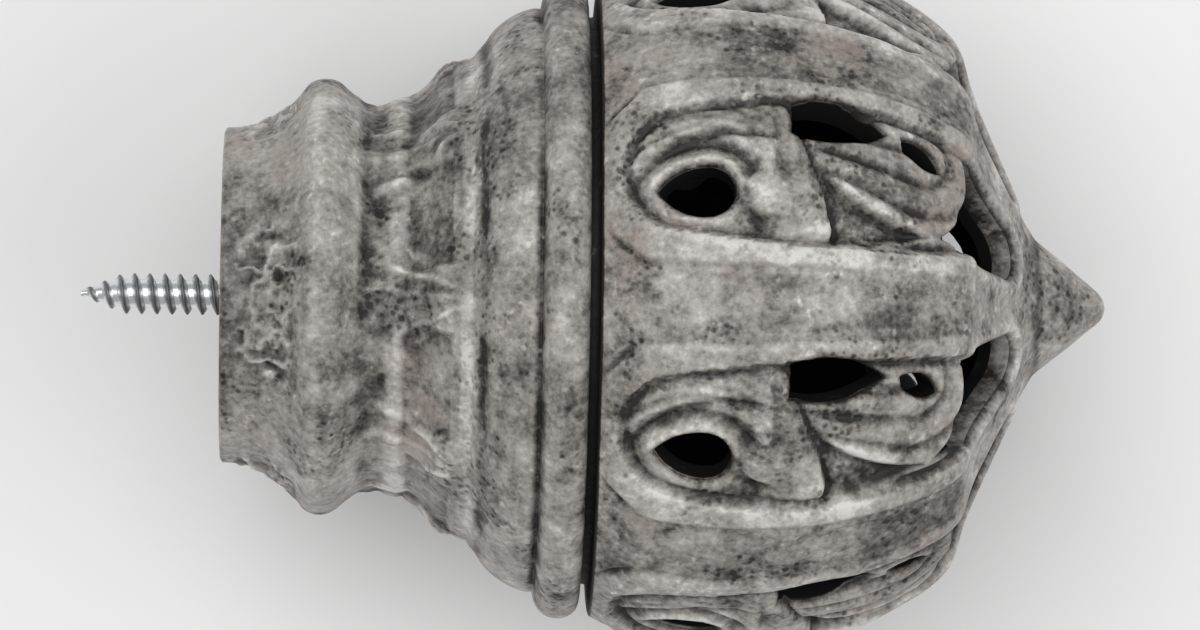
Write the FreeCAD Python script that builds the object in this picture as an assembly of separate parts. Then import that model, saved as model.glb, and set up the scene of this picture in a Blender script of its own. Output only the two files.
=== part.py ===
"""Curtain pole finial: a turned collar, a pierced hollow cage glued on it and a steel screw for the pole."""
import math
import os

import FreeCAD
import Part

# Frame: origin at the centre of the face that meets the pole, X along the pole to the tip, Z up

# Collar: lengths along X and diameters of the turned profile, in millimetres
POLE_FACE_DIAMETER = 52.0
COVE_LENGTH = 12.9
BEAD_EDGE_DIAMETER = 66.0
BEAD_LENGTH = 5.4
NECK_LENGTH = 14.7
NECK_END_DIAMETER = 70.0
RIDGE_LENGTH = 5.3
RIDGE_END_DIAMETER = 73.8
ROUND_LENGTH = 10.2
ROUND_END_DIAMETER = 91.0
QUIRK_LENGTH = 0.2
FLANGE_LENGTH = 7.1
FLANGE_FACE_DIAMETER = 95.2

# Bows of the collar's profile: rise over half the chord, plus for hollow and minus for round
COVE_BOW_RATIO = 0.28
BEAD_BOW_RATIO = -0.35
NECK_BOW_RATIO = 0.51
RIDGE_BOW_RATIO = -0.2
ROUND_BOW_RATIO = -0.27
FLANGE_BOW_RATIO = -0.78

# Carved panels round the neck
NECK_PANEL_DEPTH = 1.0
NECK_PANEL_LENGTH = 7.2
NECK_PANEL_WIDTH = 18.0
NECK_PANEL_BOW_RATIO = 0.15

# Cage, with the joint line that parts it from the collar
REPEATS = 8
JOINT_LINE_WIDTH = 1.5
JOINT_LINE_DEPTH = 5.1
RIM_DIAMETER = 98.2
RIM_LENGTH = 8.7
RIM_BOW_RATIO = -0.116
BALL_DIAMETER = 109.2
BALL_CENTRE = 20.6
BALL_LENGTH = 55.5
WALL = 6.5
LIP_LENGTH = 1.1
LIP_DROP = 5.45
LIP_BOW_RATIO = -0.35
STRUT_REACH = 11.7
NOSE_DIAMETER = 22.8
NOSE_LENGTH = 11.4
NOSE_GROOVE = 1.0
TIP_RADIUS = 3.6
TIP_EDGE_DIAMETER = 5.2
SPIGOT_LENGTH = 4.5
SPIGOT_WALL = 4.0
GLUE_GAP = 0.05

# Depths of the cage's carving below the ball
PANEL_DEPTH = 1.5
DEEP_DEPTH = 3.2
BAND_DEPTH = 1.0

# Boss beside each eye: the cap of a smaller ball, with its place as shares of the ball's size
BOSS_BALL_RADIUS = 9.0
BOSS_DEPTH = 0.3
BOSS_ALONG_SHARE = 0.48
BOSS_ACROSS_SHARE = -0.091

# Pole screw
SCREW_DIAMETER = 6.35
SCREW_STANDOUT = 21.7
SCREW_POINT_LENGTH = 6.5
SCREW_TIP_DIAMETER = 1.0
SHANK_DIAMETER = 5.2
SHANK_LENGTH = 24.0
HOLE_MOUTH_DIAMETER = 8.0
HOLE_MOUTH_DEPTH = 1.0

# Panel outlines, seen from outside with the tip to the right: each corner is its share of the ball's
# length along, its share of the ball's radius across and the bow of the side that follows
PANEL_RECESS = (
    (0.157, -0.175, 0.141),
    (1.049, -0.145, 0.0),
    (1.049, 0.145, 0.141),
    (0.157, 0.175, 0.646),
)
EYE_HOLE = (
    (0.137, -0.060, 0.298),
    (0.283, -0.142, 0.910),
    (0.292, 0.007, 0.260),
)
CRESCENT_GROOVE = (
    (0.090, -0.009, -0.224),
    (0.499, 0.080, 0.400),
)
STIPPLED_GROUND = (
    (0.607, -0.200, 0.150),
    (0.892, -0.138, -0.152),
    (0.607, 0.015, -0.200),
)
LEAF_HOLE = (
    (0.510, 0.120, 0.240),
    (0.775, 0.156, 0.175),
    (0.510, 0.200, 0.0),
)
RIB_BAND = (
    (-0.018, -0.227, -0.370),
    (0.175, -0.091, 0.020),
    (0.968, -0.058, 0.400),
    (0.968, 0.058, 0.020),
    (0.175, 0.091, -0.370),
    (-0.018, 0.227, 0.0),
)

# Outlines drawn square to the wall near the tip, along and across in shares of the ball's radius
LOBE_HOLE_SHARE = 0.883
LOBE_HOLE = (
    (-0.067, 0.145, 0.446),
    (0.067, 0.069, 0.400),
)
STRUT_HOLE = (
    (-0.164, -0.127, 0.0),
    (0.0, -0.138, 0.0),
    (0.284, -0.080, 0.955),
    (0.284, 0.080, 0.0),
    (0.0, 0.138, 0.0),
    (-0.076, 0.135, -0.287),
)

# Stations along X that follow from the lengths
NECK_START = COVE_LENGTH + BEAD_LENGTH
RIDGE_START = NECK_START + NECK_LENGTH
ROUND_START = RIDGE_START + RIDGE_LENGTH
ROUND_END = ROUND_START + ROUND_LENGTH
FLANGE_START = ROUND_END + QUIRK_LENGTH
FLANGE_FACE = FLANGE_START + FLANGE_LENGTH
CAGE_START = FLANGE_FACE + JOINT_LINE_WIDTH
SEAT = CAGE_START - SPIGOT_LENGTH
RIM_END = CAGE_START + RIM_LENGTH
BALL_END = CAGE_START + BALL_LENGTH
STRUT_START = BALL_END + LIP_LENGTH
NOSE_START = STRUT_START + STRUT_REACH
TIP = NOSE_START + NOSE_LENGTH

# Sizes that follow from those above
BALL_RADIUS = BALL_DIAMETER / 2
SPIGOT_RADIUS = RIM_DIAMETER / 2 - JOINT_LINE_DEPTH
SECTOR = 360.0 / REPEATS
CLEAR_OF_BALL = BALL_DIAMETER
WITHIN_BALL = BALL_RADIUS / 2

ORIGIN = FreeCAD.Vector(0, 0, 0)
AXIS = FreeCAD.Vector(1, 0, 0)
BALL_MIDDLE = FreeCAD.Vector(CAGE_START + BALL_CENTRE, 0, 0)


def bowed_edge(start, end, bow):
    """Edge from start to end: straight, or an arc that rises to its right by bow times half the chord."""
    if bow == 0:
        return Part.makeLine(start, end)
    chord = end - start
    right = FreeCAD.Vector(chord.y, -chord.x, 0)
    middle = (start + end) * 0.5 + right * (bow / 2)
    return Part.Arc(start, middle, end).toShape()


def flat_face(corners):
    """Flat face inside a closed outline of (first, second, bow) corners."""
    points = [FreeCAD.Vector(first, second, 0) for first, second, bow in corners]
    edges = []
    for number, corner in enumerate(corners):
        following = points[(number + 1) % len(points)]
        edges.append(bowed_edge(points[number], following, corner[2]))
    return Part.Face(Part.Wire(edges))


def turned(corners):
    """Solid turned about X from a closed outline of (along, radius, bow) corners."""
    return flat_face(corners).revolve(ORIGIN, AXIS, 360)


def prism(corners, low, high):
    """Prism along Z over an outline."""
    face = flat_face(corners)
    face.translate(FreeCAD.Vector(0, 0, low))
    return face.extrude(FreeCAD.Vector(0, 0, high - low))


def turned_copies(shape, first_angle):
    """Copies of a shape that faces Z, set round the axis once per repeat."""
    copies = []
    for number in range(REPEATS):
        one = shape.copy()
        one.rotate(ORIGIN, AXIS, -(first_angle + number * SECTOR))
        copies.append(one)
    return copies


def collar_body(depth):
    """Collar turned solid, with its radius cut back by a depth."""
    return turned(
        (
            (0, 0, 0),
            (0, POLE_FACE_DIAMETER / 2 - depth, COVE_BOW_RATIO),
            (COVE_LENGTH, BEAD_EDGE_DIAMETER / 2 - depth, BEAD_BOW_RATIO),
            (NECK_START, BEAD_EDGE_DIAMETER / 2 - depth, NECK_BOW_RATIO),
            (RIDGE_START, NECK_END_DIAMETER / 2 - depth, RIDGE_BOW_RATIO),
            (ROUND_START, RIDGE_END_DIAMETER / 2 - depth, ROUND_BOW_RATIO),
            (ROUND_END, ROUND_END_DIAMETER / 2 - depth, 0),
            (FLANGE_START, ROUND_END_DIAMETER / 2 - depth, FLANGE_BOW_RATIO),
            (FLANGE_FACE, FLANGE_FACE_DIAMETER / 2 - depth, 0),
            (FLANGE_FACE, 0, 0),
        )
    )


def neck_panel():
    """What one carved panel takes off the collar's neck."""
    end = RIDGE_START + RIDGE_LENGTH / 2
    start = end - NECK_PANEL_LENGTH
    side = NECK_PANEL_WIDTH / 2
    outline = (
        (start, -side, NECK_PANEL_BOW_RATIO),
        (end, -side, 0),
        (end, side, NECK_PANEL_BOW_RATIO),
        (start, side, 0),
    )
    return prism(outline, POLE_FACE_DIAMETER / 4, CLEAR_OF_BALL).cut(collar_body(NECK_PANEL_DEPTH))


def make_collar():
    """Collar with its neck panels, the socket for the cage and the hole for the screw."""
    socket = Part.makeCylinder(
        SPIGOT_RADIUS + GLUE_GAP, FLANGE_LENGTH, FreeCAD.Vector(SEAT, 0, 0), AXIS
    )
    hole = Part.makeCylinder(
        SHANK_DIAMETER / 2 + GLUE_GAP, SHANK_LENGTH + GLUE_GAP, ORIGIN, AXIS
    )
    mouth = Part.makeCylinder(HOLE_MOUTH_DIAMETER / 2, HOLE_MOUTH_DEPTH, ORIGIN, AXIS)
    return collar_body(0).cut(turned_copies(neck_panel(), SECTOR / 2) + [socket, hole, mouth])


def ball_radius_at(station):
    """Radius of the ball's outline at a station."""
    beside = station - BALL_MIDDLE.x
    return math.sqrt(BALL_RADIUS * BALL_RADIUS - beside * beside)


def ball_angle_at(station):
    """Angle at the ball's middle between the widest circle and the circle at a station."""
    return math.asin((station - BALL_MIDDLE.x) / BALL_RADIUS)


def strut_top():
    """Radius where the struts start under the lip."""
    return ball_radius_at(BALL_END) - LIP_DROP


def strut_angle():
    """Angle between the struts' outer line and the axis."""
    return math.atan2(strut_top() - NOSE_DIAMETER / 2, STRUT_REACH)


def cage_body():
    """Cage turned solid, from the spigot to the tip."""
    ball_bow = -math.tan((ball_angle_at(BALL_END) - ball_angle_at(RIM_END)) / 4)
    groove_radius = NOSE_DIAMETER / 2 - NOSE_GROOVE
    groove_side = NOSE_GROOVE * math.cos(strut_angle())
    tip_angle = math.asin(TIP_EDGE_DIAMETER / 2 / TIP_RADIUS)
    tip_start = TIP - TIP_RADIUS * (1 - math.cos(tip_angle))
    return turned(
        (
            (SEAT, 0, 0),
            (SEAT, SPIGOT_RADIUS, 0),
            (CAGE_START, SPIGOT_RADIUS, 0),
            (CAGE_START, RIM_DIAMETER / 2, RIM_BOW_RATIO),
            (RIM_END, ball_radius_at(RIM_END), ball_bow),
            (BALL_END, ball_radius_at(BALL_END), LIP_BOW_RATIO),
            (STRUT_START, strut_top(), 0),
            (NOSE_START, NOSE_DIAMETER / 2, 0),
            (NOSE_START - groove_side, groove_radius, 0),
            (NOSE_START + groove_side, groove_radius, 0),
            (tip_start, TIP_EDGE_DIAMETER / 2, -math.tan(tip_angle / 4)),
            (TIP, 0, 0),
        )
    )


def ground(depth):
    """Ball that fills the cage up to a depth below its surface."""
    return Part.makeSphere(BALL_RADIUS - depth, BALL_MIDDLE)


def cage_hollow():
    """Hollow inside the cage: a ball met by the cone inside the struts, with the bore through its base."""
    nose = NOSE_DIAMETER / 2
    base_end = CAGE_START + WALL
    reach = NOSE_START - WALL / math.sin(strut_angle()) - base_end
    cone = Part.makeCone(
        nose + reach * math.tan(strut_angle()), nose, reach, FreeCAD.Vector(base_end, 0, 0), AXIS
    )
    bore = Part.makeCylinder(
        SPIGOT_RADIUS - SPIGOT_WALL, base_end - SEAT, FreeCAD.Vector(SEAT, 0, 0), AXIS
    )
    return ground(WALL).common(cone).fuse(bore)


def on_ball(outline):
    """Outline in millimetres from shares of the ball's length and radius."""
    corners = []
    for along, across, bow in outline:
        corners.append((CAGE_START + along * BALL_LENGTH, across * BALL_RADIUS, bow))
    return corners


def square_to_wall(outline, station, radius, tilt):
    """Prism through the wall over an outline drawn square to it, at a station and a radius."""
    corners = []
    for along, across, bow in outline:
        corners.append((along * BALL_RADIUS, across * BALL_RADIUS, bow))
    tool = prism(corners, -WALL * 1.4, WITHIN_BALL)
    tool.rotate(ORIGIN, FreeCAD.Vector(0, 1, 0), math.degrees(tilt))
    tool.translate(FreeCAD.Vector(station, 0, radius))
    return tool


def pocket(outline, depth):
    """What a pocket of an even depth takes off the ball, over an outline that faces Z."""
    return prism(on_ball(outline), WITHIN_BALL, CLEAR_OF_BALL).cut(ground(depth))


def panel_tools():
    """What is carved from one panel: the recess, its deeper grounds and four holes."""
    lobe_station = CAGE_START + LOBE_HOLE_SHARE * BALL_LENGTH
    lobe_radius = ball_radius_at(lobe_station)
    return [
        pocket(PANEL_RECESS, PANEL_DEPTH),
        pocket(CRESCENT_GROOVE, DEEP_DEPTH),
        pocket(STIPPLED_GROUND, DEEP_DEPTH),
        prism(on_ball(EYE_HOLE), WITHIN_BALL, CLEAR_OF_BALL),
        prism(on_ball(LEAF_HOLE), WITHIN_BALL, CLEAR_OF_BALL),
        square_to_wall(LOBE_HOLE, lobe_station, lobe_radius, ball_angle_at(lobe_station)),
        square_to_wall(STRUT_HOLE, STRUT_START, strut_top(), strut_angle()),
    ]


def boss(hollow):
    """Boss on one panel, cut off at the wall's inside."""
    station = CAGE_START + BOSS_ALONG_SHARE * BALL_LENGTH
    lift = ball_radius_at(station) - BOSS_DEPTH - BOSS_BALL_RADIUS
    cap = Part.makeSphere(BOSS_BALL_RADIUS, FreeCAD.Vector(station, 0, lift)).cut(hollow)
    cap.rotate(ORIGIN, AXIS, -math.degrees(math.asin(BOSS_ACROSS_SHARE)))
    return cap


def make_cage():
    """Cage with its carved and pierced panels, rib bands and bosses."""
    hollow = cage_hollow()
    tools = turned_copies(pocket(RIB_BAND, BAND_DEPTH), 0)
    for tool in panel_tools():
        tools.extend(turned_copies(tool, SECTOR / 2))
    carved = cage_body().cut(hollow).cut(tools)
    return carved.fuse(turned_copies(boss(hollow), SECTOR / 2))


def make_screw():
    """Screw with its free end at thread size, its point and the shank set in the collar."""
    return turned(
        (
            (-SCREW_STANDOUT, 0, 0),
            (-SCREW_STANDOUT, SCREW_TIP_DIAMETER / 2, 0),
            (SCREW_POINT_LENGTH - SCREW_STANDOUT, SCREW_DIAMETER / 2, 0),
            (0, SCREW_DIAMETER / 2, 0),
            (0, SHANK_DIAMETER / 2, 0),
            (SHANK_LENGTH, SHANK_DIAMETER / 2, 0),
            (SHANK_LENGTH, 0, 0),
        )
    )


def main():
    """Write one STEP file per piece."""
    os.makedirs("parts", exist_ok=True)
    pieces = {
        "base_collar": make_collar(),
        "pierced_cage": make_cage(),
        "pole_screw": make_screw(),
    }
    for name, shape in pieces.items():
        solid = shape.Solids[0]
        solid.exportStep(os.path.join("parts", name + ".step"))
        print(name, len(shape.Solids), round(solid.Volume), solid.isValid(), len(solid.Faces))


main()
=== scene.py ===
"""Looks of a curtain pole finial: pierced cage, turned collar and threaded screw in an antiqued finish."""

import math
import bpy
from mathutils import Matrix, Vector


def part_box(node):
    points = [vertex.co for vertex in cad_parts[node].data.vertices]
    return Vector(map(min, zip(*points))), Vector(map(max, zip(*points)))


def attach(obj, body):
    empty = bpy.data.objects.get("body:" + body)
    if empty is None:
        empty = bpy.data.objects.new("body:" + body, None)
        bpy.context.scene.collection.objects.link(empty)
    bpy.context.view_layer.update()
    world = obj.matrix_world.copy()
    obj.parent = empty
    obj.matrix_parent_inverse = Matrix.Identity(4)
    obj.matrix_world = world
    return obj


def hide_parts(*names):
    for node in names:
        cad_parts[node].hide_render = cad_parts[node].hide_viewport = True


bl_info = {
    "name": "Curtain Pole Finial",
    "version": (1, 0, 0),
    "blender": (4, 5, 0),
    "location": "View3D > Sidebar > Finial",
    "description": "Builds the carved cage, the turned collar, the pole screw and the stage of a finial",
    "category": "Object",
}

from types import SimpleNamespace

import bpy
import numpy as np
from bpy.props import FloatProperty, FloatVectorProperty, PointerProperty
from mathutils import Matrix, Vector

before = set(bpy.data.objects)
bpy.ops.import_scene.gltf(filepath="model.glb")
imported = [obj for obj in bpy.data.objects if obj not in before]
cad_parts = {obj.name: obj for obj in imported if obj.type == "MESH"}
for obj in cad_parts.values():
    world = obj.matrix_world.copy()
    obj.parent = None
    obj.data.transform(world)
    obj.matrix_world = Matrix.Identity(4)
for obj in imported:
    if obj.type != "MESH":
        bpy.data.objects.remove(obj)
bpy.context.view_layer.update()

# Lengths below are in millimetres, and meshes are made in metres
MM = 0.001
COLLAR_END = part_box("base_collar")[1].x / MM
NOSE_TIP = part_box("pierced_cage")[1].x / MM
SCREW_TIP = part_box("pole_screw")[0].x / MM
REPEATS = 8
SECTOR = 2 * math.pi / REPEATS
SECTOR_MIDDLE = 0.5
AXIS_RADIUS = 0.02

# Material numbers of a piece: its outer finish comes first, and the second is near-black painted shade for
# the insides
OUTER_FINISH = 0
INNER_SHADE_FINISH = 1

# Collar's turned profile: station along the axis, radius and bow of the run that follows
COLLAR_PROFILE = (
    (0.0, 26.0, 0.28),
    (12.9, 33.0, -0.35),
    (18.3, 33.0, 0.51),
    (33.0, 35.0, -0.2),
    (38.3, 36.9, -0.27),
    (48.5, 45.5, 0.0),
    (48.7, 45.5, -0.78),
    (COLLAR_END, 47.6, 0.0),
)
COLLAR_SPACING = 0.5
COLLAR_COLUMNS = 512
COLLAR_EASE_PASSES = 1
PLAIN_SPACING = 3.0
PLAIN_FACE_RADIUS = 5.0
CARVING_START = 0.2
END_MARGIN = 0.05
SCREW_HOLE_RADIUS = 2.65
HOLE_MOUTH_RADIUS = 4.0
HOLE_MOUTH_DEPTH = 1.0
SOCKET_RADIUS = 44.05
SOCKET_FLOOR = 52.8

# Cage's turned profile
JOINT_GAP = 1.5
CAGE_START = COLLAR_END + JOINT_GAP
RIM_RADIUS = 49.1
RIM_END = 66.0
RIM_BOW = -0.116
BALL_RADIUS = 54.6
BALL_MIDDLE = 77.9
BALL_LENGTH = 55.5
BALL_END = CAGE_START + BALL_LENGTH
LIP_LENGTH = 1.1
LIP_DROP = 5.45
LIP_BOW = -0.35
LIP_EASE_REACH = 8.0
LIP_EASE_PASSES = 120
LIP_TURN_LEAD = 2.0
STRUT_START = BALL_END + LIP_LENGTH
STRUT_REACH = 11.7
STRUT_JOIN_RADIUS = 15.0
NOSE_RADIUS = 11.4
NOSE_START = STRUT_START + STRUT_REACH
NOSE_GROOVE = 0.5
TIP_RADIUS = 3.6
TIP_EDGE_RADIUS = 2.6
WALL = 6.5
SPIGOT_RADIUS = 44.0
SPIGOT_SHOWN = 2.3

# Grids of the cage: spacing along the profile, and columns in a sector or round the nose
CAGE_SPACING = 0.42
CAGE_COLUMNS = 100
RUN_SPACINGS = (2.0, 1.6, 1.0, 1.0, 0.8, 1.4)
CORNER_EASE_PASSES = 2
INNER_SPACING = 1.3
INNER_COLUMNS = 34
NOSE_COLUMNS = 128
NOSE_SPACING = 0.4
TIP_SPACING = 0.3
NOSE_EASE_PASSES = 6
OUTLINE_SPACING = 0.5
EDGE_FITS = 3
LEAST_STEEPNESS = 1e-4
WALL_LEVELS = (0.0, 0.1, 0.35, 0.6, 1.0)

# Panel outlines: share of the ball's length along, of its radius across, and bow of the side that follows
PANEL_RECESS = (
    (0.157, -0.175, 0.141),
    (1.049, -0.145, 0.0),
    (1.049, 0.145, 0.141),
    (0.157, 0.175, 0.646),
)
EYE_HOLE = ((0.137, -0.060, 0.298), (0.283, -0.142, 0.910), (0.292, 0.007, 0.260))
CRESCENT_GROOVE = ((0.090, -0.009, -0.224), (0.499, 0.080, 0.400))
STIPPLED_GROUND = ((0.585, -0.200, 0.150), (0.892, -0.138, -0.152), (0.585, 0.015, -0.200))
LEAF_HOLE = ((0.510, 0.118, 0.240), (0.780, 0.150, 0.290), (0.512, 0.214, -0.10))
RIB_BAND = (
    (-0.018, -0.227, -0.370),
    (0.175, -0.091, 0.020),
    (1.060, -0.054, 0.0),
    (1.060, 0.054, 0.020),
    (0.175, 0.091, -0.370),
    (-0.018, 0.227, 0.0),
)

# Outlines drawn square to the wall, along and across in shares of the ball's radius
LOBE_STATION = CAGE_START + 0.883 * BALL_LENGTH
LOBE_HOLE = ((-0.067, 0.145, 0.446), (0.067, 0.069, 0.400))
STRUT_HOLE = (
    (-0.164, -0.127, 0.0),
    (0.0, -0.138, 0.0),
    (0.284, -0.080, 0.955),
    (0.284, 0.080, 0.0),
    (0.0, 0.138, 0.0),
    (-0.076, 0.135, -0.287),
)

# Panel's carving: edges are (start, full), lines are (place, depth, width) and hand noises are (size, seed)
BALL_EDGE = (0.3, 1.8)
STRUT_EDGE = (1.0, 3.0)
FRAME_CREST = 2.9
FRAME_HALF_WIDTH = 3.4
FRAME_ROUNDNESS = 0.97
BAND_EDGE = (-1.0, 1.0)
BAND_LINE = (0.7, 0.5, 0.6)
NOTCH_REACH = (3.0, 6.0)
NOTCH_FRAME_EDGE = (4.0, 5.0)
NOTCH_BAND_EDGE = (0.2, 1.2)
RECESS_EDGE = (0.0, 1.3)
PANEL_LINE = (-1.0, 0.45, 0.55)
CRESCENT_EDGE = (-0.6, 1.4)
CRESCENT_SHARE = 0.55
EYE_MIDDLE = (71.3, -3.9)
LID_TURN = (-0.25, 0.45)
LID_AWAY = 1.0
LID_WIDTH = 0.9
LOWER_LID_HEIGHT = 0.2
SCROLL_START = 3.5
LID_LINE = (SCROLL_START, 0.6, 0.75)
SCROLL_AWAY = 5.6
SCROLL_FALL = 0.3
SCROLL_FALL_EDGE = (2.0, 6.0)
SCROLL_FLUTE_PITCH = 1.7
SCROLL_FLUTE_HEIGHT = 0.14
SCROLL_END = 83.0
SCROLL_END_EDGE = (-0.6, 0.6)
SCROLL_GROUND_EDGE = (-4.0, 0.0)
PEARL_MIDDLE = (83.5, -3.8)
PEARL_REACH = (6.0, 4.6)
PEARL_DEPTH = 0.3
PEARL_EDGE = (0.8, 1.0)
PEARL_LINE = (1.12, 0.15, 0.16)
PEARL_HOLLOW = (80.8, -9.0)
PEARL_HOLLOW_REACH = 2.4
PEARL_HOLLOW_DEPTH = 1.5
STEM_TOP = (83.2, 10.8)
STEM_FOOT = (89.0, -9.2)
STEM_TOP_REACH = 1.7
STEM_FOOT_REACH = 3.3
STEM_DEPTH = 0.75
STEM_EDGE = (0.75, 1.0)
STEM_LINE = (1.15, 0.9, 0.14)
STIPPLE = (1.0, 5)
STIPPLE_EDGE = (-0.5, 1.1)
VOLUTE_START = (87.0, 8.3)
VOLUTE_END = (105.6, 5.6)
VOLUTE_FIRST = 2.4
VOLUTE_PITCH = (2.8, 5.0)
VOLUTE_RISE = 0.5
VOLUTE_SHARPNESS = 3
VOLUTE_PAST_STEM = (1.1, 2.6)
STRUT_EDGE_CREST = 1.6
STRUT_EDGE_WIDTH = 1.2
HAND_WAVE = (5.0, 11)
HAND_GRAIN = (1.3, 12)

# Collar's carving: lines and rings are (station, depth or height, width) and patch noises are (size, seed)
NECK_PANEL_START = 28.45
NECK_PANEL_END = 35.65
NECK_PANEL_HALF_WIDTH = 9.0
NECK_PANEL_EDGE = (-0.3, 0.8)
NECK_LINES = ((20.9, 0.25, 0.8), (28.3, 0.45, 0.5), (36.1, 0.45, 0.5), (40.0, 0.9, 0.85), (48.6, 0.8, 0.7))
NECK_RINGS = ((26.9, 0.14, 0.9), (38.2, 0.25, 1.0))
LEAST_LINE_DEPTH = 0.3
NECK_HOLLOW = (21.2, 25.4)
NECK_HOLLOW_EDGE = (-0.6, 1.0)
LEAST_HOLLOW_DEPTH = 0.45
HOLLOW_PATCH_EDGE = (-0.5, 0.3)
NECK_PATCH = (5.0, 31)
STAIN_BROAD = (13.0, 33)
STAIN_FINE = (4.3, 34)
STAIN_EDGE = (-0.35, 0.45)
FINE_SHARE = 0.5
FAN_ROOT = 39.0
FAN_ROOT_EDGE = (-0.5, 1.0)
FAN_REACH = 18.5
FAN_END_EDGE = (15.5, 18.5)
FAN_SPREAD_EDGE = (0.6, 0.75)
FAN_PATCH_EDGE = (-0.7, -0.1)
FAN_HUG = 0.5
VEIN_RATE = 15.0
VEIN_WANDER = 0.12
VEIN_SHARPNESS = 3
VEIN_SINK = 0.6
VEIN_START_EDGE = (1.0, 6.0)
BLISTER_START = 2.0
BLISTER_END = 12.6
BLISTER_FADE = 1.5
BLISTER_PLACES = (0.19, -0.24)
BLISTER_REACH = 5.6
BLISTER_REACH_EDGE = (-1.0, 1.0)
BLISTER_WANDER = 1.5
BLISTER_RAGGED = (3.0, 41)
BLISTER_SWELL = (3.0, 42)
BLISTER_FINE = (1.5, 43)
BLISTER_SINK = 0.45
BLISTER_RIDGE_WIDTH = 0.2
BLISTER_DIP = 0.5
BLISTER_DIP_EDGE = (0.2, 0.9)

# Pole screw
SCREW_RADIUS = 3.17
SCREW_POINT_LENGTH = 6.5
SCREW_POINT_RADIUS = 0.45
THREAD_ROOT_SHARE = 0.70
THREAD_CREST_PHASE = 0.5
THREAD_FLANK_WIDTH = 0.30
THREAD_CREST_FLAT = 1.15
SCREW_SPACING = 0.11
SCREW_COLUMNS = 72

# Antiquing: reliefs are (weight, reach in grid points); rubs raise the relief and stains lower it, and the
# relief also carries painted shade and painted highlights
FINE_RELIEF = (0.8, 3)
BROAD_RELIEF = (0.45, 8)
BLUR_REACHES = 3
# Painted shade darkening the joint groove between collar and cage and the mouths of the holes' walls
JOINT_SHADE = 1.4
JOINT_SHADE_REACH = 0.3
# Painted shade that darkens the holes' walls as they go in, and the inside of the cage
HOLE_SHADE_RATE = 8.0
STRUT_WALL_SHADE = 0.9
STRUT_WALL_PAINTED = 2
INSIDE_SHADE = 1.0
# Painted light on the nose's cone and painted shade in its crease
NOSE_PAINTED_LIGHT = 0.3
NOSE_CREASE_SHADE = 0.8
NOSE_CREASE_WIDTH = 0.8
LINE_STAIN = 0.55
RING_RUB = 0.9
COLLAR_RUB = 0.08
# Painted highlight: a bright line along the collar bead's crest
BEAD_PAINTED_HIGHLIGHT_LINE = (14.4, 0.3, 1.0)
# Offset that sets where the screw's painted dark reflections fall on its thread
THREAD_REFLECTION_OFFSET = 0.4

# Finish: noises are (size in millimetres, detail, roughness), and edges are where a mask starts and is full
CLOUD = (19.0, 3.0, 0.55)
MOTTLE = (4.2, 4.0, 0.6)
GRAIN = (1.1, 3.0, 0.6)
PATCH = (11.0, 4.0, 0.6)
PATCH_EDGE = (0.47, 0.63)
DOT_SPACING = 1.25
DOT_EDGE = (0.12, 0.48)
DOT_WANDER = 0.8
FLECK = (1.3, 2.0, 0.5)
FLECK_EDGE = (0.54, 0.72)
FLECK_PATCH = (6.0, 3.0, 0.6)
FLECK_PATCH_EDGE = (0.46, 0.62)
TINT_PATCH = (17.0, 3.0, 0.5)
TINT_PATCH_EDGE = (0.54, 0.70)
TINT_MOTTLE_EDGE = (0.40, 0.60)
TINT_PATINA_EDGE = (0.15, 0.5)
TINT_STRENGTH = 0.5
RELIEF_WEIGHT = 0.5
CLOUD_WEIGHT = 1.19
MOTTLE_WEIGHT = 1.06
GRAIN_WEIGHT = 0.85
SPECK_WEIGHT = 0.32
PATCH_WEIGHT = 0.10
FLECK_WEIGHT = 0.28
PATINA_STOPS = (0.0, 0.27, 0.5, 0.74, 1.0)
PAINT_ROUGHNESS = 0.60
RUBBED_GLOSS = 0.16
PAINT_SPECULAR = 0.45
PAINT_BUMP = (0.7, 0.3)
GRAIN_BUMP = 0.5
SPECK_BUMP = 0.35
DUST = (4.0, 4.0, 0.6)
DUST_EDGE = (0.6, 0.8)
DUST_STRENGTH = 0.12
INSIDE_ROUGHNESS = 0.8
DUST_ROUGHNESS = 0.15
DULL_SPECULAR = 0.1
ZINC_CLOUD = (1.6, 4.0, 0.6)
# Painted dark reflections on the thread's crests and flanks, which are also rougher
REFLECTION_WANDER = 0.5
REFLECTION_EDGE = (-0.3, 0.4)
REFLECTION_STRENGTH = 0.75
ZINC_ROUGHNESS = 0.2
CLOUD_ROUGHNESS = 0.15
REFLECTION_ROUGHNESS = 0.2
SCRATCH = (0.35, 2.0, 0.5)
SCRATCH_BUMP = (0.25, 0.06)
FLOOR_CLOUD = (400.0, 2.0, 0.5)
FLOOR_DARKER = 0.985
FLOOR_ROUGHNESS = 0.9
NOISE_MIDDLE = 0.5
NOISE_LATTICE = 48

# Sockets of the node that mixes two colours
MIX_SHARE = 0
MIX_FIRST = 6
MIX_SECOND = 7
MIX_RESULT = 2

# Camera's sensor in millimetres, and its far limit in metres
SENSOR_WIDTH = 36.0
FAR_LIMIT = 100.0


def length(name, description, millimetres):
    """Length property with its default given in millimetres."""
    default = millimetres * MM
    return FloatProperty(name=name, description=description, default=default, unit="LENGTH", precision=5)


def place(name, description, metres):
    """Place property with its default given in metres."""
    return FloatVectorProperty(
        name=name, description=description, default=metres, size=3, subtype="TRANSLATION", unit="LENGTH"
    )


def colour(name, description, value):
    """Colour property with a linear default."""
    return FloatVectorProperty(
        name=name, description=description, default=value, size=3, subtype="COLOR", min=0.0, max=1.0
    )


def power(name, description, watts):
    """Power property of a light."""
    return FloatProperty(name=name, description=description, default=watts, unit="POWER")


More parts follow.
